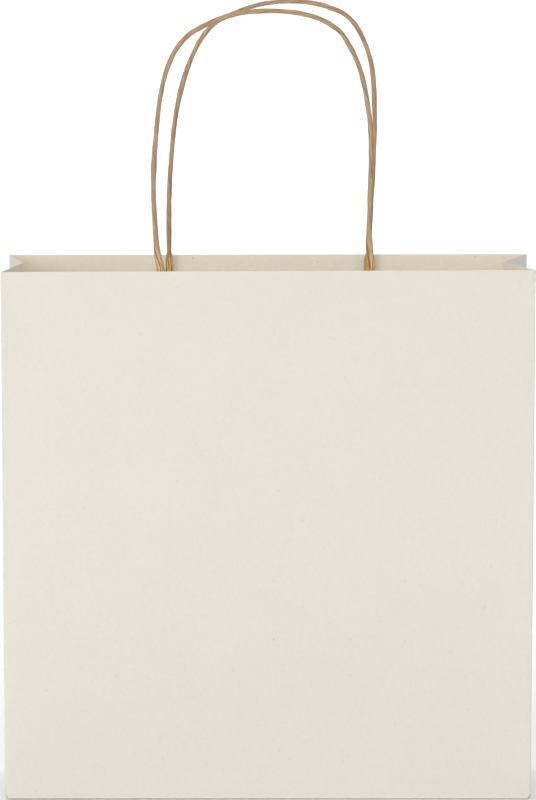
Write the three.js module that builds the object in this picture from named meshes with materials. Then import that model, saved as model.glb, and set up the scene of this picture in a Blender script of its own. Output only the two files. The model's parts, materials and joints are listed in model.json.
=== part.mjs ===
// Paper gift bag with twisted paper cord handles.
//
// Millimetres. +Z is up and the bag stands on Z = 0. The front faces -Y and
// the origin is the middle of the footprint. The bag is one folded and glued
// sheet, so each panel between two creases is a thin plate of its own. Every
// crease keeps a small clearance, so that the plates turn about it freely.

import * as THREE from 'three';

// ---- driving dimensions ---------------------------------------------------

const WIDTH = 250; // front and back panels, side to side
const HEIGHT = 250; // floor to rim
const DEPTH = 90; // front face to back face
const PAPER = 0.3; // thickness of one ply
const GAP = 0.3; // clearance between neighbouring plies

const GUSSET_INSET = 10.5; // how far the middle crease stands in from the side
const CREASE_SETBACK = 0.8; // corner crease axis, behind a panel's inner face
const GUSSET_OFFSET = 0.15; // gusset ply, off the line between its crease axes
const GUSSET_TRIM = 0.2; // gusset ply, short of the middle crease axis
const FOOT_CREASE_RISE = 45; // top of a gusset's foot triangle, above its base edge
const FOOT_TRIM = 0.7; // clearance of the foot triangle along its creases
const CORNER_CUT = 1.6; // the worn lower corners of the front and back panels

const FLAP_OVERLAP = 26; // the two bottom flaps, across the middle of the base
const TUCK_REACH = 40; // a side tuck, inwards from the side of the base
const TUCK_TIP = 12; // width of a side tuck's inner edge
const BASE_INSET = 0.5; // bottom plies, inside the panels' outline

const SEAM_WIDTH = 14; // glued lap of the long seam
const SEAM_FROM_CORNER = 8; // the lap's near edge, from the back left corner

const CORD = 2.5; // diameter of the twisted cord
const CORD_SIDES = 8;
const CORD_STEPS = 48;
const HINGE_LIFT = 1.6; // where a handle bends, above the rim
const FOOT_WIDTH = 3.6; // the flattened, glued end of a cord
const FOOT_THICKNESS = 1.8;
const FOOT_LENGTH = 45;
const PATCH_WIDTH = 144; // the paper patch that holds a handle's ends
const PATCH_HEIGHT = 38;
const PATCH_DROP = 12; // the patch's upper edge, below the rim

// Centre lines of the two handles as [x, height above the rim], from the left
// end to the right end.
const FRONT_ROUTE = [
  [-50.3, 1.6], [-51.5, 7.2], [-52.8, 22.6], [-53.4, 44.1], [-51.5, 70.3],
  [-49.8, 83.1], [-47.2, 93.5], [-42.9, 103], [-36.8, 110], [-29.9, 114.2],
  [-23, 117.3], [-16, 119.4], [-8.3, 120.7], [0.3, 121.1], [9.8, 120.7],
  [17.6, 119.4], [25.4, 116.8], [33.2, 111.7], [37.5, 105.6], [41.4, 97.8],
  [44.4, 88.3], [46.6, 76.2], [47.8, 65.8], [48.1, 53], [47.8, 39.9],
  [47.2, 18.4], [47.6, 1.6],
];
const BACK_ROUTE = [
  [-47.7, 1.6], [-47.8, 15.8], [-47.6, 29.4], [-46.9, 42.7], [-44.9, 64.2],
  [-42.2, 78.5], [-39.1, 89.2], [-35, 99.1], [-30.1, 107.2], [-23.8, 113],
  [-16.6, 116.5], [-9.5, 119.3], [-0.5, 121.5], [10.2, 122.4], [19.1, 121.9],
  [28.1, 119.9], [36.2, 116.5], [41.5, 111.7], [46, 103.6], [49.1, 94.6],
  [50.6, 85.7], [51.2, 73.1], [51.4, 60.6], [50.5, 38.1], [49.1, 12],
  [49, 1.6],
];

// ---- derived sizes --------------------------------------------------------

const PLY_PITCH = PAPER + GAP;
const BASE_TOP = 3 * PLY_PITCH; // the walls start above three bottom plies
const CREASE_Y = DEPTH / 2 - PAPER - CREASE_SETBACK;
const GUSSET_WIDTH = Math.hypot(CREASE_Y, GUSSET_INSET);
const GUSSET_ANGLE = Math.atan2(GUSSET_INSET, CREASE_Y);
// The plies of a handle's mounting, counted from the panel's outer face.
const PATCH_BASE_IN = PLY_PITCH;
const FOOT_IN = 2 * PLY_PITCH;
const PATCH_COVER_IN = FOOT_IN + FOOT_THICKNESS + GAP;
const CORD_IN = FOOT_IN + CORD / 2;

// ---- materials ------------------------------------------------------------

function paperMaterial(colour) {
  return new THREE.MeshStandardMaterial({ color: colour, roughness: 0.9, metalness: 0 });
}

const sheetPaper = paperMaterial(0xe4dfd2);
const patchPaper = paperMaterial(0xd9d2c0);
const cordPaper = paperMaterial(0xbe9f74);

const bag = new THREE.Group();

// ---- helpers --------------------------------------------------------------

function addMesh(parent, name, geometry, material) {
  const mesh = new THREE.Mesh(geometry, material);
  mesh.name = name;
  parent.add(mesh);
  return mesh;
}

function outline(points) {
  return new THREE.Shape(points.map(([x, y]) => new THREE.Vector2(x, y)));
}

function rectangle(x0, y0, x1, y1) {
  return outline([[x0, y0], [x1, y0], [x1, y1], [x0, y1]]);
}

function ply(shape) {
  return new THREE.ExtrudeGeometry(shape, { depth: PAPER, bevelEnabled: false });
}

// An upright plate drawn in X and Z, whose thickness runs from y to y + PAPER.
function uprightPly(shape, y) {
  const geometry = ply(shape);
  geometry.rotateX(Math.PI / 2);
  geometry.translate(0, y + PAPER, 0);
  return geometry;
}

// ---- front and back panels ------------------------------------------------

// A panel with its two worn lower corners, between two distances into the bag.
function panelShape() {
  const half = WIDTH / 2;
  return outline([
    [-half + CORNER_CUT, BASE_TOP], [half - CORNER_CUT, BASE_TOP],
    [half, BASE_TOP + CORNER_CUT], [half, HEIGHT],
    [-half, HEIGHT], [-half, BASE_TOP + CORNER_CUT],
  ]);
}

// side is -1 at the front and +1 at the back. A ply that lies `inwards` from
// the panel's outer face starts at this y.
function plyY(side, inwards) {
  return side < 0 ? -DEPTH / 2 + inwards : DEPTH / 2 - inwards - PAPER;
}

function addPanel(name, side) {
  addMesh(bag, name, uprightPly(panelShape(), plyY(side, 0)), sheetPaper);
}

// ---- side gussets ---------------------------------------------------------

// One half of a gusset: a plate from a corner crease to the middle crease. Its
// lower edge is the slanting crease that it shares with the foot triangle.
// handX is -1 on the left and +1 on the right, handY -1 at the front half.
function addGussetHalf(name, handX, handY) {
  const far = GUSSET_WIDTH - GUSSET_TRIM;
  const apex = BASE_TOP + FOOT_CREASE_RISE + FOOT_TRIM;
  const shape = outline([[0, BASE_TOP + FOOT_TRIM], [far, apex], [far, HEIGHT], [0, HEIGHT]]);
  const y = handX * handY > 0 ? -GUSSET_OFFSET - PAPER : GUSSET_OFFSET;
  const mesh = addMesh(bag, name, uprightPly(shape, y), sheetPaper);
  mesh.position.set(handX * WIDTH / 2, handY * CREASE_Y, 0);
  mesh.rotation.z = Math.atan2(-handY * Math.cos(GUSSET_ANGLE), -handX * Math.sin(GUSSET_ANGLE));
}

// The triangle at a gusset's foot, which leans in from the base edge to meet
// the middle crease.
function addGussetFoot(name, handX) {
  const slope = Math.hypot(FOOT_CREASE_RISE, GUSSET_INSET);
  const halfBase = CREASE_Y - 2 * FOOT_TRIM;
  const shape = outline([[-halfBase, 0], [halfBase, 0], [0, slope - 2 * FOOT_TRIM]]);
  const geometry = uprightPly(shape, GUSSET_OFFSET);
  geometry.rotateZ(handX * Math.PI / 2);
  const mesh = addMesh(bag, name, geometry, sheetPaper);
  mesh.position.set(handX * WIDTH / 2, 0, BASE_TOP);
  mesh.rotation.y = -handX * Math.atan2(GUSSET_INSET, FOOT_CREASE_RISE);
}

// ---- bottom ---------------------------------------------------------------

// A long flap, folded in from the front or the back edge of the base.
function addBottomFlap(name, side, level) {
  const half = WIDTH / 2 - BASE_INSET;
  const edge = side * (DEPTH / 2 - BASE_INSET);
  const inner = -side * FLAP_OVERLAP / 2;
  const shape = rectangle(-half, Math.min(edge, inner), half, Math.max(edge, inner));
  const mesh = addMesh(bag, name, ply(shape), sheetPaper);
  mesh.position.z = level * PLY_PITCH;
}

// A side tuck: the gusset's own foot, folded in under the load.
function addSideTuck(name, handX) {
  const half = WIDTH / 2 - BASE_INSET;
  const halfDepth = DEPTH / 2 - BASE_INSET;
  const outer = handX * half;
  const inner = handX * (half - TUCK_REACH);
  const shape = outline([
    [outer, -halfDepth], [inner, -TUCK_TIP / 2], [inner, TUCK_TIP / 2], [outer, halfDepth],
  ]);
  const mesh = addMesh(bag, name, ply(shape), sheetPaper);
  mesh.position.z = 2 * PLY_PITCH;
}

// ---- long seam ------------------------------------------------------------

function addSeamLap(name) {
  const x0 = -WIDTH / 2 + SEAM_FROM_CORNER;
  const shape = rectangle(x0, BASE_TOP, x0 + SEAM_WIDTH, HEIGHT);
  addMesh(bag, name, uprightPly(shape, plyY(1, PLY_PITCH)), sheetPaper);
}

// ---- handles --------------------------------------------------------------

function ellipseSection(width, thickness) {
  const points = [];
  for (let side = 0; side < CORD_SIDES; side += 1) {
    const angle = (side + 0.5) * 2 * Math.PI / CORD_SIDES;
    points.push([width / 2 * Math.cos(angle), thickness / 2 * Math.sin(angle)]);
  }
  return outline(points);
}

// The free loop of a handle, from the bend above one foot to the other.
function addHandleLoop(name, side, route) {
  const y = side * (DEPTH / 2 - CORD_IN);
  const path = new THREE.CatmullRomCurve3(route.map(([x, rise]) => new THREE.Vector3(x, y, HEIGHT + rise)));
  const section = ellipseSection(CORD, CORD);
  const geometry = new THREE.ExtrudeGeometry(section, { steps: CORD_STEPS, extrudePath: path });
  addMesh(bag, name, geometry, cordPaper);
}

// The flattened end of a cord, glued between the two plies of the patch.
function addHandleFoot(name, side, x) {
  const section = ellipseSection(FOOT_WIDTH, FOOT_THICKNESS);
  const geometry = new THREE.ExtrudeGeometry(section, { depth: FOOT_LENGTH, bevelEnabled: false });
  const mesh = addMesh(bag, name, geometry, cordPaper);
  mesh.position.set(x, side * (DEPTH / 2 - FOOT_IN - FOOT_THICKNESS / 2), HEIGHT - GAP - FOOT_LENGTH);
}

function addPatchPly(name, side, inwards) {
  const top = HEIGHT - PATCH_DROP;
  const shape = rectangle(-PATCH_WIDTH / 2, top - PATCH_HEIGHT, PATCH_WIDTH / 2, top);
  addMesh(bag, name, uprightPly(shape, plyY(side, inwards)), patchPaper);
}

function addHandle(prefix, side, route) {
  addHandleLoop(`${prefix}_handle_loop`, side, route);
  addHandleFoot(`${prefix}_handle_left_foot`, side, route[0][0]);
  addHandleFoot(`${prefix}_handle_right_foot`, side, route[route.length - 1][0]);
  addPatchPly(`${prefix}_patch_base`, side, PATCH_BASE_IN);
  addPatchPly(`${prefix}_patch_cover`, side, PATCH_COVER_IN);
}

// ---- assembly -------------------------------------------------------------

addPanel('front_panel', -1);
addPanel('back_panel', 1);
addGussetHalf('left_gusset_front', -1, -1);
addGussetHalf('left_gusset_rear', -1, 1);
addGussetHalf('right_gusset_front', 1, -1);
addGussetHalf('right_gusset_rear', 1, 1);
addGussetFoot('left_gusset_foot', -1);
addGussetFoot('right_gusset_foot', 1);
addSeamLap('side_seam_lap');
addBottomFlap('bottom_outer_flap', 1, 0);
addBottomFlap('bottom_inner_flap', -1, 1);
addSideTuck('bottom_left_tuck', -1);
addSideTuck('bottom_right_tuck', 1);
addHandle('front', -1, FRONT_ROUTE);
addHandle('back', 1, BACK_ROUTE);

export default bag;
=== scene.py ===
import json
import math

import bpy
import numpy as np
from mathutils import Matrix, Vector


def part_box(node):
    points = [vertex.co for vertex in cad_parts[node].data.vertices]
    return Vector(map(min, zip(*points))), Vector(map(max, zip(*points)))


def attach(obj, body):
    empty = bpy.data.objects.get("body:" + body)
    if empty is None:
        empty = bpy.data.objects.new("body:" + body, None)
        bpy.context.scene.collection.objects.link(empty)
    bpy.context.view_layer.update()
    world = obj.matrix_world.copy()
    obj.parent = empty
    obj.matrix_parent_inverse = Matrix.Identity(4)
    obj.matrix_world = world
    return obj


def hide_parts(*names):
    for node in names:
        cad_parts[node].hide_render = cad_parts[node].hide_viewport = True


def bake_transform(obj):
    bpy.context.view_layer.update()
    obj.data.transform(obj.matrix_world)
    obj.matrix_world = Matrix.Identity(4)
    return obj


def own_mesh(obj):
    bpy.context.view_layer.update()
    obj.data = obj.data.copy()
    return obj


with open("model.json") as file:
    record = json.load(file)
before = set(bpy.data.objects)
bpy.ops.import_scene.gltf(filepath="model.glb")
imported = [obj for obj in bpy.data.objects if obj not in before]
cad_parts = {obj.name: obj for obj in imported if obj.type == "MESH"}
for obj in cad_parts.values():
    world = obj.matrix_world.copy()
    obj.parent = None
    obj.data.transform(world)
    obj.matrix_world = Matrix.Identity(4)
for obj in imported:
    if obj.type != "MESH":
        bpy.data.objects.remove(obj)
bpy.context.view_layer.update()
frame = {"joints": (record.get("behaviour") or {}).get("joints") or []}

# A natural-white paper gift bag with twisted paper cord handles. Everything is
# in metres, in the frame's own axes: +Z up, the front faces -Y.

MM = 0.001

# ---- sizes ------------------------------------------------------------------

# From the frame.
FRONT_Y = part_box("front_panel")[0].y
BACK_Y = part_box("back_panel")[1].y
HALF_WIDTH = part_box("front_panel")[1].x
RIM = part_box("front_panel")[1].z
PATCH_LOW, PATCH_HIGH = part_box("front_patch_base")
SEAM_LOW, SEAM_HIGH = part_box("side_seam_lap")
FOOT_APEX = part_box("left_gusset_foot")[1].z
CREASE = {joint["name"]: joint for joint in frame["joints"]}
CORNER_CREASE_Y = CREASE["flat_fold"]["pos_m"][1]
MIDDLE_CREASE_X = abs(CREASE["left_middle_crease"]["pos_m"][0])
CORD_Y = abs(CREASE["front_handle_bend"]["pos_m"][1])

# The paper.
PLY = 0.22 * MM
BASE_TAPER = 1.1 * MM           # each side edge comes in by this much at the base
CORNER_ROUND = 0.55 * MM        # fold radius of the upright corners
CORNER_CUT = 2.2 * MM           # worn lower corners
BASE_CREASE_RISE = 7.5 * MM     # crease just above the floor
FLAT_CREASE_RISE = 45 * MM      # crease left by the bag's flat fold
RIM_SLANT = {"front": 0.44 * MM, "back": 0.18 * MM}  # the cut rims, from the middle to one side
BACK_RIM_RISE = 0.22 * MM       # the back rim is cut this much higher
INSET = HALF_WIDTH - MIDDLE_CREASE_X
INSET_AT_RIM = {"left": 8.4 * MM, "right": 13.2 * MM}

# The cords.
CORD_RADIUS = 1.15 * MM
CORD_TWIST_PITCH = -34 * MM     # left-handed twist
CORD_BURIED = 38 * MM           # glued length below the rim
CORD_SIDES = 40
# Each pleat along the cord: its place round it, its depth, its width and its darkness, which is painted
# shade in the pleat.
CORD_PLEATS = (
    (0.0, 0.10, 0.20, 1.0),
    (2.2, 0.055, 0.13, 0.6),
    (3.7, 0.075, 0.15, 0.8),
    (5.1, 0.035, 0.10, 0.5),
)

FRONT_ROUTE = [
    (-50.3, 1.6), (-51.5, 7.2), (-52.8, 22.6), (-53.4, 44.1), (-51.5, 70.3),
    (-49.8, 83.1), (-47.2, 93.5), (-42.9, 103), (-36.8, 110), (-29.9, 114.2),
    (-23, 117.3), (-16, 119.4), (-8.3, 120.7), (0.3, 121.1), (9.8, 120.7),
    (17.6, 119.4), (25.4, 116.8), (33.2, 111.7), (37.5, 105.6), (41.4, 97.8),
    (44.4, 88.3), (46.6, 76.2), (47.8, 65.8), (48.1, 53), (47.8, 39.9),
    (47.2, 18.4), (47.6, 1.6),
]
BACK_ROUTE = [
    (-47.7, 1.6), (-47.8, 15.8), (-47.6, 29.4), (-46.9, 42.7), (-44.9, 64.2),
    (-42.2, 78.5), (-39.1, 89.2), (-35, 99.1), (-30.1, 107.2), (-23.8, 113),
    (-16.6, 116.5), (-9.5, 119.3), (-0.5, 121.5), (10.2, 122.4), (19.1, 121.9),
    (28.1, 119.9), (36.2, 116.5), (41.5, 111.7), (46, 103.6), (49.1, 94.6),
    (50.6, 85.7), (51.2, 73.1), (51.4, 60.6), (50.5, 38.1), (49.1, 12),
    (49, 1.6),
]


# ---- camera -----------------------------------------------------------------

CAMERA_PITCH = math.radians(6.34)
CAMERA_DISTANCE = 2.554         # to the front panel's plane
CAMERA_AIM_Z = 0.18945
CAMERA_LENS = 245.6
CAMERA_SENSOR = 36
CAMERA_CLIP_END = 40


def add_camera():
    look = Vector((0, math.cos(CAMERA_PITCH), -math.sin(CAMERA_PITCH)))
    aim = Vector((0, FRONT_Y, CAMERA_AIM_Z))
    data = bpy.data.cameras.new("camera")
    data.lens = CAMERA_LENS
    data.sensor_width = CAMERA_SENSOR
    data.clip_end = CAMERA_CLIP_END
    camera = bpy.data.objects.new("camera", data)
    camera.location = aim - look * CAMERA_DISTANCE
    camera.rotation_euler = (math.pi / 2 - CAMERA_PITCH, 0, 0)
    bpy.context.collection.objects.link(camera)
    bpy.context.scene.camera = camera


add_camera()


# ---- material helpers -------------------------------------------------------

class Nodes:
    """A material's node tree, with short calls for the nodes used here."""

    def __init__(self, name, roughness, specular):
        self.material = bpy.data.materials.new(name)
        self.material.use_nodes = True
        self.tree = self.material.node_tree
        self.shader = self.tree.nodes["Principled BSDF"]
        self.shader.inputs["Roughness"].default_value = roughness
        self.shader.inputs["Specular IOR Level"].default_value = specular
        self.coordinates = self.tree.nodes.new("ShaderNodeTexCoord").outputs["Object"]

    def new(self, kind, **inputs):
        node = self.tree.nodes.new(kind)
        for key, value in inputs.items():
            name = key.replace("_", " ")
            if isinstance(value, bpy.types.NodeSocket):
                self.tree.links.new(value, node.inputs[name])
            else:
                node.inputs[name].default_value = value
        return node

    def attribute(self, name):
        node = self.tree.nodes.new("ShaderNodeAttribute")
        node.attribute_name = name
        return node.outputs

    def stretched(self, scale, rotation=(0, 0, 0), source=None):
        node = self.tree.nodes.new("ShaderNodeMapping")
        self.tree.links.new(source or self.coordinates, node.inputs["Vector"])
        node.inputs["Scale"].default_value = scale
        node.inputs["Rotation"].default_value = rotation
        return node.outputs["Vector"]

    def noise(self, scale, detail=3.0, vector=None, roughness=0.55):
        node = self.new("ShaderNodeTexNoise", Vector=vector or self.coordinates, Scale=scale,
                        Detail=detail, Roughness=roughness)
        return node.outputs["Fac"]

    def cells(self, scale, vector=None, randomness=1.0):
        node = self.new("ShaderNodeTexVoronoi", Vector=vector or self.coordinates, Scale=scale,
                        Randomness=randomness)
        return node

    def span(self, value, low, high, to_low=0.0, to_high=1.0):
        node = self.tree.nodes.new("ShaderNodeMapRange")
        self.tree.links.new(value, node.inputs["Value"])
        for key, number in (("From Min", low), ("From Max", high), ("To Min", to_low), ("To Max", to_high)):
            node.inputs[key].default_value = number
        return node.outputs["Result"]

    def math(self, operation, a, b):
        node = self.tree.nodes.new("ShaderNodeMath")
        node.operation = operation
        for socket, value in zip(node.inputs, (a, b)):
            if isinstance(value, bpy.types.NodeSocket):
                self.tree.links.new(value, socket)
            else:
                socket.default_value = value
        return node.outputs["Value"]

    def mix(self, factor, a, b):
        node = self.tree.nodes.new("ShaderNodeMix")
        node.data_type = "RGBA"
        colours = [s for s in node.inputs if s.type == "RGBA"]
        self.tree.links.new(factor, node.inputs["Factor"])
        for socket, value in zip(colours, (a, b)):
            if isinstance(value, bpy.types.NodeSocket):
                self.tree.links.new(value, socket)
            else:
                socket.default_value = (*value, 1)
        return next(s for s in node.outputs if s.type == "RGBA")

    def bump(self, height, distance, strength=1.0, under=None):
        node = self.new("ShaderNodeBump", Height=height, Distance=distance, Strength=strength)
        if under is not None:
            self.tree.links.new(under, node.inputs["Normal"])
        return node.outputs["Normal"]

    def finish(self, colour, normal):
        self.tree.links.new(colour, self.shader.inputs["Base Color"])
        self.tree.links.new(normal, self.shader.inputs["Normal"])
        return self.material


def add_specks(n, colour, scale, radius, share, tint, turn=(0, 0, 0), stretch=(1, 1, 1)):
    """Scattered dots, or short fibres where stretched, in some of a grid of cells."""
    vector = n.stretched(stretch, turn)
    if stretch != (1, 1, 1):
        drift = n.new("ShaderNodeTexNoise", Vector=n.coordinates, Scale=260.0, Detail=1.0)
        shift = n.tree.nodes.new("ShaderNodeVectorMath")
        shift.operation = "SCALE"
        n.tree.links.new(drift.outputs["Color"], shift.inputs[0])
        shift.inputs["Scale"].default_value = 0.25 / scale
        bent = n.tree.nodes.new("ShaderNodeVectorMath")
        bent.operation = "ADD"
        n.tree.links.new(vector, bent.inputs[0])
        n.tree.links.new(shift.outputs["Vector"], bent.inputs[1])
        vector = bent.outputs["Vector"]
    cells = n.cells(scale, vector)
    pick = n.tree.nodes.new("ShaderNodeSeparateColor")
    n.tree.links.new(cells.outputs["Color"], pick.inputs["Color"])
    chosen = n.math("LESS_THAN", pick.outputs["Red"], share)
    size = n.span(pick.outputs["Green"], 0, 1, 0.45 * radius, radius)
    inside = n.math("SUBTRACT", 1.0, n.math("DIVIDE", cells.outputs["Distance"], size))
    soft = n.span(inside, 0.0, 0.5)
    faint = n.span(pick.outputs["Blue"], 0, 1, 0.35, 1)
    strength = n.math("MULTIPLY", n.math("MULTIPLY", soft, chosen), faint)
    return n.mix(strength, colour, tint)


def paper_material(name, base, seed):
    """Uncoated natural-white kraft: cloudy formation, fine fibres and bran specks."""
    n = Nodes(name, roughness=0.86, specular=0.22)
    place = n.stretched((1, 1, 1), (0.1 * seed, 0.07 * seed, 0.05 * seed))
    paler = tuple(c * 1.004 for c in base)
    deeper = tuple(c * f for c, f in zip(base, (0.993, 0.992, 0.988)))
    colour = n.mix(n.span(n.noise(26, 3, place), 0.32, 0.68), deeper, paler)
    fine = n.noise(420, 4, place, 0.7)
    grain = n.noise(1500, 3, place, 0.75)
    # Painted light: the inner face of every ply is tinted brighter and warmer, standing in for warm light
    # bounced inside the bag.
    inside = n.attribute("inside")["Fac"]
    inner_painted_light = tuple(c * f for c, f in zip(base, INNER_FACE_PAINTED_LIGHT))
    colour = n.mix(inside, colour, inner_painted_light)
    colour = n.mix(n.span(fine, 0.35, 0.7, 0.0, 0.16), colour, tuple(c * 0.80 for c in base))
    colour = n.mix(n.span(grain, 0.52, 0.75, 0.0, 0.22), colour, tuple(c * 0.78 for c in base))
    brown = (0.44, 0.38, 0.30)
    tan = (0.60, 0.54, 0.45)
    colour = add_specks(n, colour, 130, 0.075, 0.35, brown)
    colour = add_specks(n, colour, 420, 0.22, 0.16, tan)
    for index, turn in enumerate((0.2, 0.95, 1.7, 2.5)):
        colour = add_specks(n, colour, 190 + 17 * index, 0.06, 0.10, tan,
                            (0.5 * turn, turn, 0.3), (1, 1, 0.22))
    normal = n.bump(n.noise(90, 4, place, 0.6), 0.10 * MM)
    normal = n.bump(fine, 0.035 * MM, under=normal)
    normal = n.bump(grain, 0.012 * MM, under=normal)
    return n.finish(colour, normal)


def cord_material(name):
    """Twisted brown kraft: long streaks along the twist, painted shade in the pleats and a painted warm
    glow of bounced light on the pressed ends.
    """
    n = Nodes(name, roughness=0.62, specular=0.3)
    strand = n.attribute("strand")["Vector"]
    pleat_painted_shade = n.attribute("pleat_painted_shade")["Fac"]
    pressed = n.attribute("pressed")["Fac"]
    long_way = n.stretched((1, 1, 1), source=strand)
    streak = n.noise(3.2, 4, long_way, 0.6)
    patch = n.noise(60, 2)
    colour = n.mix(n.span(streak, 0.36, 0.64), (0.27, 0.16, 0.088), (0.56, 0.405, 0.245))
    colour = n.mix(n.span(patch, 0.35, 0.7, 0, 0.40), colour, (0.44, 0.29, 0.18))
    # Painted light: the pressed, flattened ends turn golden, standing in for warm light bounced inside the
    # bag, streaked along the twist.
    pressed_painted_glow = n.mix(n.span(streak, 0.44, 0.56), (0.36, 0.17, 0.045), (0.84, 0.60, 0.30))
    colour = n.mix(n.span(pressed, 0.3, 0.95, 0, 0.9), colour, pressed_painted_glow)
    # Painted shade: the pleats' grooves are darkened towards deep brown.
    colour = n.mix(n.span(pleat_painted_shade, 0.12, 0.85, 0, 0.85), colour, (0.13, 0.07, 0.03))
    colour = add_specks(n, colour, 900, 0.25, 0.10, (0.74, 0.60, 0.42))
    normal = n.bump(n.noise(9, 3, long_way, 0.7), 0.05 * MM)
    normal = n.bump(n.noise(1400, 3), 0.02 * MM, under=normal)
    return n.finish(colour, normal)


def floor_material():
    n = Nodes("floor_white", roughness=0.9, specular=0.1)
    colour = n.mix(n.noise(3, 2), (0.93, 0.93, 0.93), (0.95, 0.95, 0.95))
    return n.finish(colour, n.bump(n.noise(30, 2), 0.05 * MM, 0.2))


INNER_FACE_PAINTED_LIGHT = (1.22, 1.19, 1.15)  # painted light: the side towards the bag's inside is drawn brighter and warmer than the outer side, standing in for warm light bounced inside the bag

PAPER = paper_material("sheet_paper", (0.735, 0.707, 0.626), 0)
PATCH_PAPER = paper_material("patch_paper", (0.705, 0.66, 0.56), 3)
CORD_PAPER = cord_material("cord_paper")


# ---- mesh helpers -----------------------------------------------------------

SHARP_ANGLE = math.radians(38)   # edges folded more than this are drawn sharp


def add_object(name, points, faces, material):
    mesh = bpy.data.meshes.new(name)
    mesh.from_pydata([tuple(p) for p in points], [], faces)
    mesh.polygons.foreach_set("use_smooth", [True] * len(mesh.polygons))
    mesh.set_sharp_from_angle(angle=SHARP_ANGLE)
    mesh.materials.append(material)
    piece = bpy.data.objects.new(name, mesh)
    bpy.context.collection.objects.link(piece)
    return piece


def add_values(piece, name, values):
    """One number for each point of a piece, for its material to read."""
    attribute = piece.data.attributes.new(name, "FLOAT", "POINT")
    attribute.data.foreach_set("value", values.astype(np.float32))


def outward_normals(grid, outward):
    """Unit normals of a grid of points, on the side of a rough outward direction."""
    along_u = np.gradient(grid, axis=0)
    along_v = np.gradient(grid, axis=1)
    normal = np.cross(along_u, along_v)
    normal /= np.maximum(np.linalg.norm(normal, axis=2, keepdims=True), 1e-12)
    if (normal.reshape(-1, 3).mean(0) @ np.array(outward, float)) < 0:
        normal = -normal
    return normal


def add_ply(name, outer, outward, material, thickness=PLY):
    """A closed sheet of paper. outer is a grid of points on its outer face."""
    inner = outer - outward_normals(outer, outward) * thickness
    nu, nv = outer.shape[:2]
    points = np.concatenate([outer.reshape(-1, 3), inner.reshape(-1, 3)])
    index = np.arange(nu * nv).reshape(nu, nv)
    back = index + nu * nv
    u_way = outer[-1, nv // 2] - outer[0, nv // 2]
    v_way = outer[nu // 2, -1] - outer[nu // 2, 0]
    flip = np.cross(u_way, v_way) @ np.array(outward, float) < 0
    faces = []

    def quad(a, b, c, d):
        faces.append((d, c, b, a) if flip else (a, b, c, d))

    for i in range(nu - 1):
        for j in range(nv - 1):
            quad(index[i, j], index[i + 1, j], index[i + 1, j + 1], index[i, j + 1])
            quad(back[i, j + 1], back[i + 1, j + 1], back[i + 1, j], back[i, j])
    for i in range(nu - 1):
        quad(index[i, 0], back[i, 0], back[i + 1, 0], index[i + 1, 0])
        quad(index[i + 1, nv - 1], back[i + 1, nv - 1], back[i, nv - 1], index[i, nv - 1])
    for j in range(nv - 1):
        quad(index[0, j + 1], back[0, j + 1], back[0, j], index[0, j])
        quad(index[nu - 1, j], back[nu - 1, j], back[nu - 1, j + 1], index[nu - 1, j + 1])
    piece = add_object(name, points, [tuple(int(k) for k in f) for f in faces], material)
    # Marks the inner face, which the paper material draws with painted warm bounce light.
    add_values(piece, "inside", np.repeat([0.0, 1.0], nu * nv))
    return piece


def stations(low, high, step, fine=(), span=2 * MM, fine_step=0.4 * MM):
    """Grid lines from low to high, closer together around the fine places."""
    places = set(np.linspace(low, high, max(2, round((high - low) / step) + 1)).tolist())
    for centre in fine:
        near = np.arange(centre - span, centre + span + fine_step / 2, fine_step)
        places |= {float(p) for p in near if low < p < high}
    ordered = sorted(places)
    kept = [ordered[0]]
    for place in ordered[1:-1]:
        if place - kept[-1] > 0.45 * fine_step and high - place > 0.45 * fine_step:
            kept.append(place)
    return np.array(kept + [high])


def smooth(x):
    x = np.clip(x, 0, 1)
    return x * x * (3 - 2 * x)


def bell(x, width):
    return np.exp(-(x / width) ** 2)


# ---- front and back panels --------------------------------------------------

UNDULATION = {
    "front": ((0.10, 1.3, 0.4, 0.9, 1.1), (0.07, 2.7, 1.9, 1.8, 0.3), (0.045, 4.9, 0.7, 3.1, 2.0)),
    "back": ((0.10, 1.1, 1.7, 1.1, 0.2), (0.07, 2.3, 0.5, 2.2, 1.6), (0.045, 5.3, 2.1, 2.7, 0.9)),
}


def panel_relief(x, z, side, feet):
    """How far a panel's outer face stands out from its plane, in metres."""
    u = x / HALF_WIDTH
    v = z / RIM
    free = (1 - u ** 2) * smooth(v / 0.25)
    out = np.zeros_like(x)
    for depth, across, phase, up, lift in UNDULATION[side]:
        out += depth * np.sin(math.pi * across * u + phase) * np.sin(math.pi * up * v + lift)
    out *= free
    out += (0.95 - 0.35 * u) * (1 - z / BASE_CREASE_RISE).clip(0, 1)
    out -= 0.02 * bell(z - BASE_CREASE_RISE, 0.8 * MM)
    if side == "front":
        out -= 0.05 * bell(z - FLAT_CREASE_RISE, 0.9 * MM)
        out += 0.05 * smooth((z - FLAT_CREASE_RISE) / (2 * MM)) * smooth((0.09 - z) / 0.045)
    for foot in feet:
        in_patch = smooth((z - (RIM - CORD_BURIED - 1 * MM)) / (3 * MM))
        near_rim = smooth((RIM + 0.5 * MM - z) / (4 * MM))
        out += 0.09 * bell(x - foot, 2.6 * MM) * in_patch * near_rim
        reach = RIM - z
        for lean, start in ((0.16, 3), (-0.22, 6), (0.34, 10)):
            line = x - foot - start * 0.4 * MM - lean * reach
            out += 0.03 * bell(line, 1.5 * MM) * smooth(reach / 0.02) * smooth((0.085 - reach) / 0.05)
    inside_x = smooth((PATCH_HIGH.x - np.abs(x)) / (1.2 * MM))
    inside_z = smooth((PATCH_HIGH.z - z) / (1.2 * MM)) * smooth((z - PATCH_LOW.z) / (1.2 * MM))
    out += 0.045 * inside_x * inside_z
    return out * MM


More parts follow.
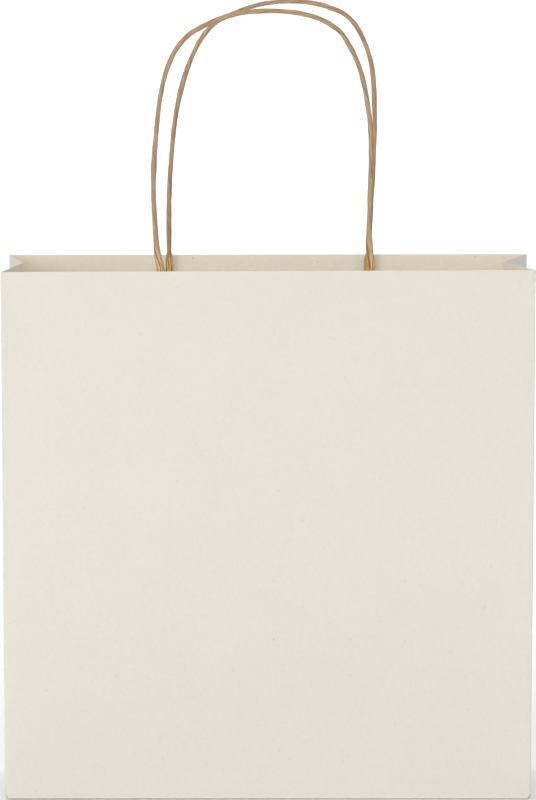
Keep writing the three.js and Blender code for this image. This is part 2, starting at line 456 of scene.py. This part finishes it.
def rim_change(x, y, z):
    """The rim is cut slightly out of square: how far a point near it is moved up."""
    back = (y - FRONT_Y) / (BACK_Y - FRONT_Y)
    slant = RIM_SLANT["front"] * (1 - back) + RIM_SLANT["back"] * back
    return (slant * x / HALF_WIDTH + BACK_RIM_RISE * back) * smooth((z - 0.8 * RIM) / (0.2 * RIM))


def add_panel(name, side, body, node, feet):
    facing = -1 if side == "front" else 1
    plane = FRONT_Y if side == "front" else BACK_Y
    turn = np.linspace(0, math.pi / 2, 7)[1:]
    flat_end = HALF_WIDTH - CORNER_ROUND
    flat = stations(-flat_end, flat_end, 2.0 * MM, feet, 5 * MM, 0.7 * MM)
    fine_heights = (BASE_CREASE_RISE, FLAT_CREASE_RISE, PATCH_LOW.z, PATCH_HIGH.z)
    up = stations(CORNER_ROUND, RIM, 2.0 * MM, fine_heights)
    # Cross section: the flat face, and a quarter turn at each upright corner.
    right = [(flat_end + CORNER_ROUND * math.sin(a), CORNER_ROUND * (1 - math.cos(a))) for a in turn]
    left = [(-x, y) for x, y in reversed(right)]
    section = left + [(x, 0.0) for x in flat] + right
    # Upright profile: a quarter turn under the base, then the face.
    under = [(CORNER_ROUND * (1 - math.cos(a)), CORNER_ROUND * (1 - math.sin(a))) for a in turn[::-1]]
    profile = sorted(under) + [(z, 0.0) for z in up]
    grid = np.zeros((len(section), len(profile), 3))
    for i, (x, turned_x) in enumerate(section):
        for j, (z, turned_z) in enumerate(profile):
            grid[i, j] = (x, turned_x + turned_z, z)
    x, inwards, z = grid[..., 0].copy(), grid[..., 1].copy(), grid[..., 2].copy()
    relief = panel_relief(x, z, side, feet) * (inwards < 1e-6)
    narrow = BASE_TAPER * (1 - z / RIM) + CORNER_CUT * smooth(1 - z / CORNER_CUT) * 0.6
    grid[..., 0] = x * (1 - narrow / HALF_WIDTH)
    grid[..., 1] = plane - facing * inwards + facing * relief
    grid[..., 2] = z + rim_change(x, plane, z)
    piece = add_ply(name, grid, (0, facing, 0), PAPER)
    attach(piece, body)
    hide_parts(node)


FRONT_FEET = (FRONT_ROUTE[0][0] * MM, FRONT_ROUTE[-1][0] * MM)
BACK_FEET = (BACK_ROUTE[0][0] * MM, BACK_ROUTE[-1][0] * MM)
add_panel("front_panel_sheet", "front", "front_body", "front_panel", FRONT_FEET)
add_panel("back_panel_sheet", "back", "back_body", "back_panel", BACK_FEET)


# ---- side gussets -----------------------------------------------------------

def gusset_x(y, z, side):
    """Distance from the middle of the bag to a gusset's outer face."""
    at_rim = INSET_AT_RIM[side]
    inset = INSET + (at_rim - INSET) * smooth((z - 0.45 * RIM) / (0.55 * RIM))
    share = 1 - np.sqrt(y ** 2 + (0.5 * MM) ** 2) / (BACK_Y - CORNER_ROUND)
    share = np.clip(share, 0, 1)
    bow = 0.35 * MM * np.sin(math.pi * share) * np.sin(math.pi * z / RIM * 1.7 + 0.5)
    taper = BASE_TAPER * (1 - z / RIM)
    return HALF_WIDTH - taper - inset * share + bow * smooth(z / 0.06)


def add_gusset(side, hand):
    half_depth = BACK_Y - CORNER_ROUND + 0.1 * MM
    ys = stations(-half_depth, half_depth, 1.5 * MM, (0.0,), 2 * MM, 0.25 * MM)
    rows = np.linspace(0, 1, 120)
    grid = np.zeros((len(ys), len(rows), 3))
    for i, y in enumerate(ys):
        low = CORNER_ROUND + (FOOT_APEX - CORNER_ROUND) * max(0.0, 1 - abs(y) / CORNER_CREASE_Y)
        z = low + (RIM - low) * rows
        grid[i, :, 0] = hand * gusset_x(np.full_like(z, y), z, side)
        grid[i, :, 1] = y
        grid[i, :, 2] = z + rim_change(hand * HALF_WIDTH, y, z)
    piece = add_ply(f"{side}_gusset_sheet", grid, (hand, 0, 0), PAPER)
    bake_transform(piece)
    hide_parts(f"{side}_gusset_front", f"{side}_gusset_rear")


def add_gusset_foot(side, hand):
    low = 0.5 * MM
    high = FOOT_APEX + 0.4 * MM
    rows = np.linspace(0, 1, 40)
    across = np.linspace(-1, 1, 61)
    grid = np.zeros((len(across), len(rows), 3))
    for j, v in enumerate(rows):
        z = low + (high - low) * v
        half = CORNER_CREASE_Y * (1 - v) + 0.7 * MM
        bulge = 0.5 * MM * math.sin(math.pi * v)
        for i, u in enumerate(across):
            lean = INSET * v * 0.98
            round_under = CORNER_ROUND * (1 - smooth(z / (1.6 * MM))) * 0.6
            x = HALF_WIDTH - BASE_TAPER - lean + bulge * (1 - u * u) - 0.30 * MM - round_under
            grid[i, j] = (hand * x, u * half, z)
    piece = add_ply(f"{side}_gusset_foot_sheet", grid, (hand, 0, 0), PAPER)
    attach(piece, "back_body")
    flatten(piece)
    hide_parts(f"{side}_gusset_foot")


def flatten(piece):
    """Gives a piece of the base or a gusset's foot a mesh of its own."""
    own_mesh(piece)


for side_name, hand_sign in (("left", -1), ("right", 1)):
    add_gusset(side_name, hand_sign)
    add_gusset_foot(side_name, hand_sign)


# ---- bottom -----------------------------------------------------------------

def add_base_flap(name, side, node):
    """A long flap of the base. The inner one steps up over the outer one's edge."""
    low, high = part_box(node)
    hem = CORNER_ROUND * 0.9
    y_edge = side * (BACK_Y - hem)
    y_end = low.y if side > 0 else high.y
    ys = stations(min(y_edge, y_end), max(y_edge, y_end), 1.5 * MM, (low.y, high.y), 4 * MM, 0.5 * MM)
    half = HALF_WIDTH - BASE_TAPER - 0.6 * MM
    xs = np.linspace(-half, half, 120)
    grid = np.zeros((len(xs), len(ys), 3))
    outer_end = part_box("bottom_outer_flap")[0].y
    for j, y in enumerate(ys):
        step = 0.0 if side > 0 else 0.34 * smooth((y - outer_end + 4 * MM) / (3.4 * MM))
        cup = 0.22 * np.cos(math.pi * xs / half / 2) * math.cos(math.pi * y / BACK_Y / 2)
        grid[:, j, 0] = xs
        grid[:, j, 1] = y
        grid[:, j, 2] = (0.02 + step + cup * 0.5) * MM
    piece = add_ply(name, grid, (0, 0, -1), PAPER)
    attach(piece, "back_body")
    flatten(piece)
    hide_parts(node)


def add_base_tuck(name, hand, node):
    low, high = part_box(node)
    reach = high.x - low.x
    tip = 6 * MM
    rows = np.linspace(0, 1, 24)
    across = np.linspace(-1, 1, 40)
    grid = np.zeros((len(across), len(rows), 3))
    for j, v in enumerate(rows):
        half = (high.y - tip) * (1 - v) + tip
        for i, u in enumerate(across):
            x = HALF_WIDTH - BASE_TAPER - 0.9 * MM - reach * v
            cup = 0.22 * math.cos(math.pi * x / HALF_WIDTH / 2) * math.cos(math.pi * u * half / BACK_Y / 2)
            grid[i, j] = (hand * x, u * half, (0.92 + 0.5 * cup) * MM)
    piece = add_ply(name, grid, (0, 0, -1), PAPER)
    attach(piece, "back_body")
    flatten(piece)
    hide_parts(node)


add_base_flap("bottom_outer_sheet", 1, "bottom_outer_flap")
add_base_flap("bottom_inner_sheet", -1, "bottom_inner_flap")
add_base_tuck("bottom_left_tuck_sheet", -1, "bottom_left_tuck")
add_base_tuck("bottom_right_tuck_sheet", 1, "bottom_right_tuck")


# ---- seam lap and handle patches -------------------------------------------

def add_inner_ply(name, node, body, side, material, depth, xs, zs, rise=None, thickness=0.16 * MM):
    """A ply glued to a panel's inner face, depth behind the panel's outer face."""
    facing = -1 if side == "front" else 1
    plane = FRONT_Y if side == "front" else BACK_Y
    grid = np.zeros((len(xs), len(zs), 3))
    for i, x in enumerate(xs):
        lift = np.zeros(len(zs)) if rise is None else rise(x, zs)
        grid[i, :, 0] = x
        grid[i, :, 1] = plane - facing * (depth + lift)
        grid[i, :, 2] = zs
    piece = add_ply(name, grid, (0, facing, 0), material, thickness)
    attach(piece, body)
    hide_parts(node)


def over_the_feet(feet):
    """How a patch's cover ply rides up over the glued cord ends."""
    def rise(x, zs):
        up = sum(smooth((5.8 * MM - abs(x - foot)) / (2.8 * MM)) for foot in feet)
        ends = smooth((zs - (RIM - CORD_BURIED - 2.5 * MM)) / (4 * MM))
        return 2.4 * MM * up * ends
    return rise


seam_xs = np.linspace(SEAM_LOW.x, SEAM_HIGH.x, 16)
seam_zs = stations(SEAM_LOW.z, RIM - 0.3 * MM, 3 * MM)
add_inner_ply("side_seam_sheet", "side_seam_lap", "back_body", "back", PAPER,
              PLY + 0.01 * MM, seam_xs, seam_zs, thickness=0.07 * MM)
for prefix, patch_feet in (("front", FRONT_FEET), ("back", BACK_FEET)):
    patch_xs = stations(PATCH_LOW.x, PATCH_HIGH.x, 3 * MM, patch_feet, 6 * MM, 0.6 * MM)
    patch_zs = stations(PATCH_LOW.z, PATCH_HIGH.z, 2 * MM)
    body_name = f"{prefix}_body"
    add_inner_ply(f"{prefix}_patch_base_sheet", f"{prefix}_patch_base", body_name, prefix,
                  PATCH_PAPER, PLY + 0.30 * MM, patch_xs, patch_zs)
    add_inner_ply(f"{prefix}_patch_cover_sheet", f"{prefix}_patch_cover", body_name, prefix,
                  PATCH_PAPER, PLY + 0.62 * MM, patch_xs, patch_zs, over_the_feet(patch_feet))


# ---- handles ----------------------------------------------------------------

def catmull_rom(points, per_span=40):
    """The centripetal Catmull-Rom curve through the points."""
    p = np.array(points, float)
    p = np.vstack([2 * p[0] - p[1], p, 2 * p[-1] - p[-2]])
    out = []
    for k in range(1, len(p) - 2):
        a, b, c, d = p[k - 1:k + 3]
        t = np.cumsum([0] + [np.linalg.norm(y - x) ** 0.5 for x, y in ((a, b), (b, c), (c, d))])
        s = np.linspace(t[1], t[2], per_span, endpoint=False)[:, None]
        ab = (t[1] - s) / (t[1] - t[0]) * a + (s - t[0]) / (t[1] - t[0]) * b
        bc = (t[2] - s) / (t[2] - t[1]) * b + (s - t[1]) / (t[2] - t[1]) * c
        cd = (t[3] - s) / (t[3] - t[2]) * c + (s - t[2]) / (t[3] - t[2]) * d
        abc = (t[2] - s) / (t[2] - t[0]) * ab + (s - t[0]) / (t[2] - t[0]) * bc
        bcd = (t[3] - s) / (t[3] - t[1]) * bc + (s - t[1]) / (t[3] - t[1]) * cd
        out.append((t[2] - s) / (t[2] - t[1]) * abc + (s - t[1]) / (t[2] - t[1]) * bcd)
    return np.vstack(out + [p[-2:-1]])


def evenly(line, step):
    along = np.concatenate([[0], np.cumsum(np.linalg.norm(np.diff(line, axis=0), axis=1))])
    count = math.ceil(along[-1] / step) + 1
    at = np.linspace(0, along[-1], count)
    return np.stack([np.interp(at, along, line[:, k]) for k in range(line.shape[1])], axis=1), at


def add_handle(prefix, route, facing, seed, flare, spread, bulge):
    """One cord: both glued, flattened ends and the free loop between them.

    flare and spread are for the left and the right foot: where the cord starts to
    flatten above the rim and over what length, and how much wider it gets there."""
    left_x = route[0][0]
    right_x = route[-1][0]
    buried = [-CORD_BURIED / MM, -28, -16, -6]
    points = [(left_x, z) for z in buried] + route + [(right_x, z) for z in reversed(buried)]
    flat_line, at = evenly(catmull_rom(points), 0.5)
    x = flat_line[:, 0] * MM
    z = RIM + flat_line[:, 1] * MM
    above = flat_line[:, 1]
    # Below the rim the cord is pressed flat and loses its twist.
    on_left = at < at[-1] / 2
    flare_top = np.where(on_left, flare[0][0], flare[1][0])
    flare_span = np.where(on_left, flare[0][1], flare[1][1])
    pressed = smooth((flare_top - above) / flare_span)
    y = facing * (CORD_Y + 0.30 * MM * smooth(-above / 10))
    centre = np.stack([x, y, z], axis=1)
    tangent = np.gradient(centre, axis=0)
    tangent /= np.linalg.norm(tangent, axis=1, keepdims=True)
    out_of_plane = np.tile(np.array([0.0, 1.0, 0.0]), (len(centre), 1))
    in_plane = np.cross(out_of_plane, tangent)
    in_plane /= np.linalg.norm(in_plane, axis=1, keepdims=True)
    rng = np.random.default_rng(seed)
    wander = np.interp(at, np.linspace(0, at[-1], 26), rng.normal(0, 1, 26))
    rate = 2 * math.pi / (CORD_TWIST_PITCH / MM) * (1 + 0.22 * wander) * (1 - 0.93 * pressed)
    phase = np.concatenate([[0], np.cumsum(rate[1:] * np.diff(at))]) + rng.uniform(0, 6)
    swell = 1 + 0.05 * np.interp(at, np.linspace(0, at[-1], 60), rng.normal(0, 1, 60))
    theta = np.arange(CORD_SIDES) * 2 * math.pi / CORD_SIDES
    twisted = theta[None, :] - phase[:, None]
    radius = np.ones_like(twisted)
    # How dark each point is drawn: painted shade in the pleats, deeper on the pressed ends.
    depth = np.zeros_like(twisted)
    for offset, cut, width, shade in CORD_PLEATS:
        sway = offset + 0.35 * np.interp(at, np.linspace(0, at[-1], 19), rng.normal(0, 1, 19))[:, None]
        gap = np.angle(np.exp(1j * (twisted - sway)))
        open_up = 1 + 2.0 * pressed[:, None]
        radius -= cut * open_up * np.exp(-(gap / width) ** 2)
        radius += 0.45 * cut * np.exp(-((gap - 2.2 * width) / (1.6 * width)) ** 2)
        depth += shade * (0.8 + 0.9 * pressed[:, None]) * np.exp(-(gap / (0.9 * width)) ** 2)
    radius += 0.018 * np.sin(2 * twisted + 0.7)
    swell += 0.13 * bell(above - bulge, 5) * on_left
    spreading = np.where(on_left, spread[0], spread[1])
    wide = CORD_RADIUS * swell * (1 + spreading * pressed)
    thick = CORD_RADIUS * swell * (1 - 0.20 * pressed)
    rings = (centre[:, None, :]
             + in_plane[:, None, :] * (wide[:, None] * radius * np.cos(theta)[None, :])[..., None]
             + out_of_plane[:, None, :] * (thick[:, None] * radius * np.sin(theta)[None, :])[..., None])
    count = len(centre)
    points = rings.reshape(-1, 3).tolist() + [centre[0].tolist(), centre[-1].tolist()]
    faces = []
    for i in range(count - 1):
        ring, next_ring = i * CORD_SIDES, (i + 1) * CORD_SIDES
        for k in range(CORD_SIDES):
            n = (k + 1) % CORD_SIDES
            faces.append((ring + k, ring + n, next_ring + n, next_ring + k))
    first, last = count * CORD_SIDES, count * CORD_SIDES + 1
    last_ring = (count - 1) * CORD_SIDES
    for k in range(CORD_SIDES):
        n = (k + 1) % CORD_SIDES
        faces.append((first, n, k))
        faces.append((last, last_ring + k, last_ring + n))
    piece = add_object(f"{prefix}_handle_cord", points, faces, CORD_PAPER)
    if piece.data.polygons[0].normal.dot(Vector(rings[0, 0] - centre[0])) < 0:
        piece.data.flip_normals()
    # What the cord's material reads. The last two points close the cord's ends.
    around = np.stack([np.cos(twisted) * 1.3, np.sin(twisted) * 1.3,
                       np.tile((at * 0.045)[:, None], (1, CORD_SIDES))], axis=2).reshape(-1, 3)
    strand = piece.data.attributes.new("strand", "FLOAT_VECTOR", "POINT")
    with_ends = np.vstack([around, around[:1], around[-1:]])
    strand.data.foreach_set("vector", with_ends.astype(np.float32).ravel())
    # The pleats' painted shade, for the cord's material to read.
    shade = np.clip(depth, 0, 1).reshape(-1)
    add_values(piece, "pleat_painted_shade", np.concatenate([shade, shade[:1], shade[-1:]]))
    add_values(piece, "pressed", np.concatenate([np.repeat(pressed, CORD_SIDES), [1.0, 1.0]]))
    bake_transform(piece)
    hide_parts(f"{prefix}_handle_loop", f"{prefix}_handle_left_foot", f"{prefix}_handle_right_foot")


add_handle("front", FRONT_ROUTE, -1, 11, ((20, 24), (24, 27)), (0.70, 0.90), 48)
add_handle("back", BACK_ROUTE, 1, 23, ((2.2, 4.0), (4, 6)), (0.60, 1.15), 80)


# ---- floor and light --------------------------------------------------------

SWEEP_Y = 3.6       # the wall's place behind the bag
SWEEP_ROUND = 0.35  # radius between floor and wall
SWEEP_TOP = 0.45    # the wall's height
WORLD_LIGHT = 0.21


def add_floor():
    """A white sweep: the floor, a quarter turn, and a low wall behind."""
    turn = [math.radians(a) for a in range(0, 91, 10)]
    turn_y = SWEEP_Y - SWEEP_ROUND
    section = [(-7.0, 0.0), (-3.0, 0.0), (-1.0, 0.0), (0.0, 0.0)]
    section += [(turn_y + SWEEP_ROUND * math.sin(a), SWEEP_ROUND * (1 - math.cos(a))) for a in turn]
    section.append((SWEEP_Y, SWEEP_TOP))
    ticks = np.linspace(-6, 6, 9)
    points = [(x, y, z) for x in ticks for y, z in section]
    n = len(section)
    faces = [(i * n + j, (i + 1) * n + j, (i + 1) * n + j + 1, i * n + j + 1)
             for i in range(len(ticks) - 1) for j in range(n - 1)]
    floor = add_object("floor", points, faces, floor_material())


def add_area_light(name, power, size, place, aim, height=None):
    data = bpy.data.lights.new(name, "AREA")
    data.shape = "RECTANGLE"
    data.energy = power
    data.size = size
    data.size_y = height or size
    light = bpy.data.objects.new(name, data)
    light.location = place
    light.rotation_euler = (Vector(aim) - Vector(place)).to_track_quat("-Z", "Y").to_euler()
    bpy.context.collection.objects.link(light)


def add_world():
    world = bpy.data.worlds.new("studio")
    world.use_nodes = True
    background = world.node_tree.nodes["Background"]
    background.inputs["Color"].default_value = (1, 1, 1, 1)
    background.inputs["Strength"].default_value = WORLD_LIGHT
    bpy.context.scene.world = world


add_floor()
add_world()
add_area_light("key", 73, 2.4, (-3.2, -2.6, 1.1), (0, 0, 0.12))
add_area_light("front_fill", 39, 2.4, (0.3, -4.3, 1.0), (0, 0, 0.10))
add_area_light("top_front", 35, 2.4, (0, -2.4, 3.9), (0, 0, 0.12))
add_area_light("right_fill", 10, 1.5, (2.3, -1.1, 0.9), (0, 0, 0.15))
add_area_light("back_top", 50, 2.0, (0, 1.7, 2.1), (0, 0, 0.2))
add_area_light("low_fill", 0.13, 0.5, (-0.05, -0.46, 0.03), (-0.05, 0, 0.03), height=0.04)
add_area_light("backdrop", 16, 2.6, (0, 2.6, 1.1), (0, 3.3, 0.05), height=0.4)
bpy.context.scene.view_settings.view_transform = "Standard"
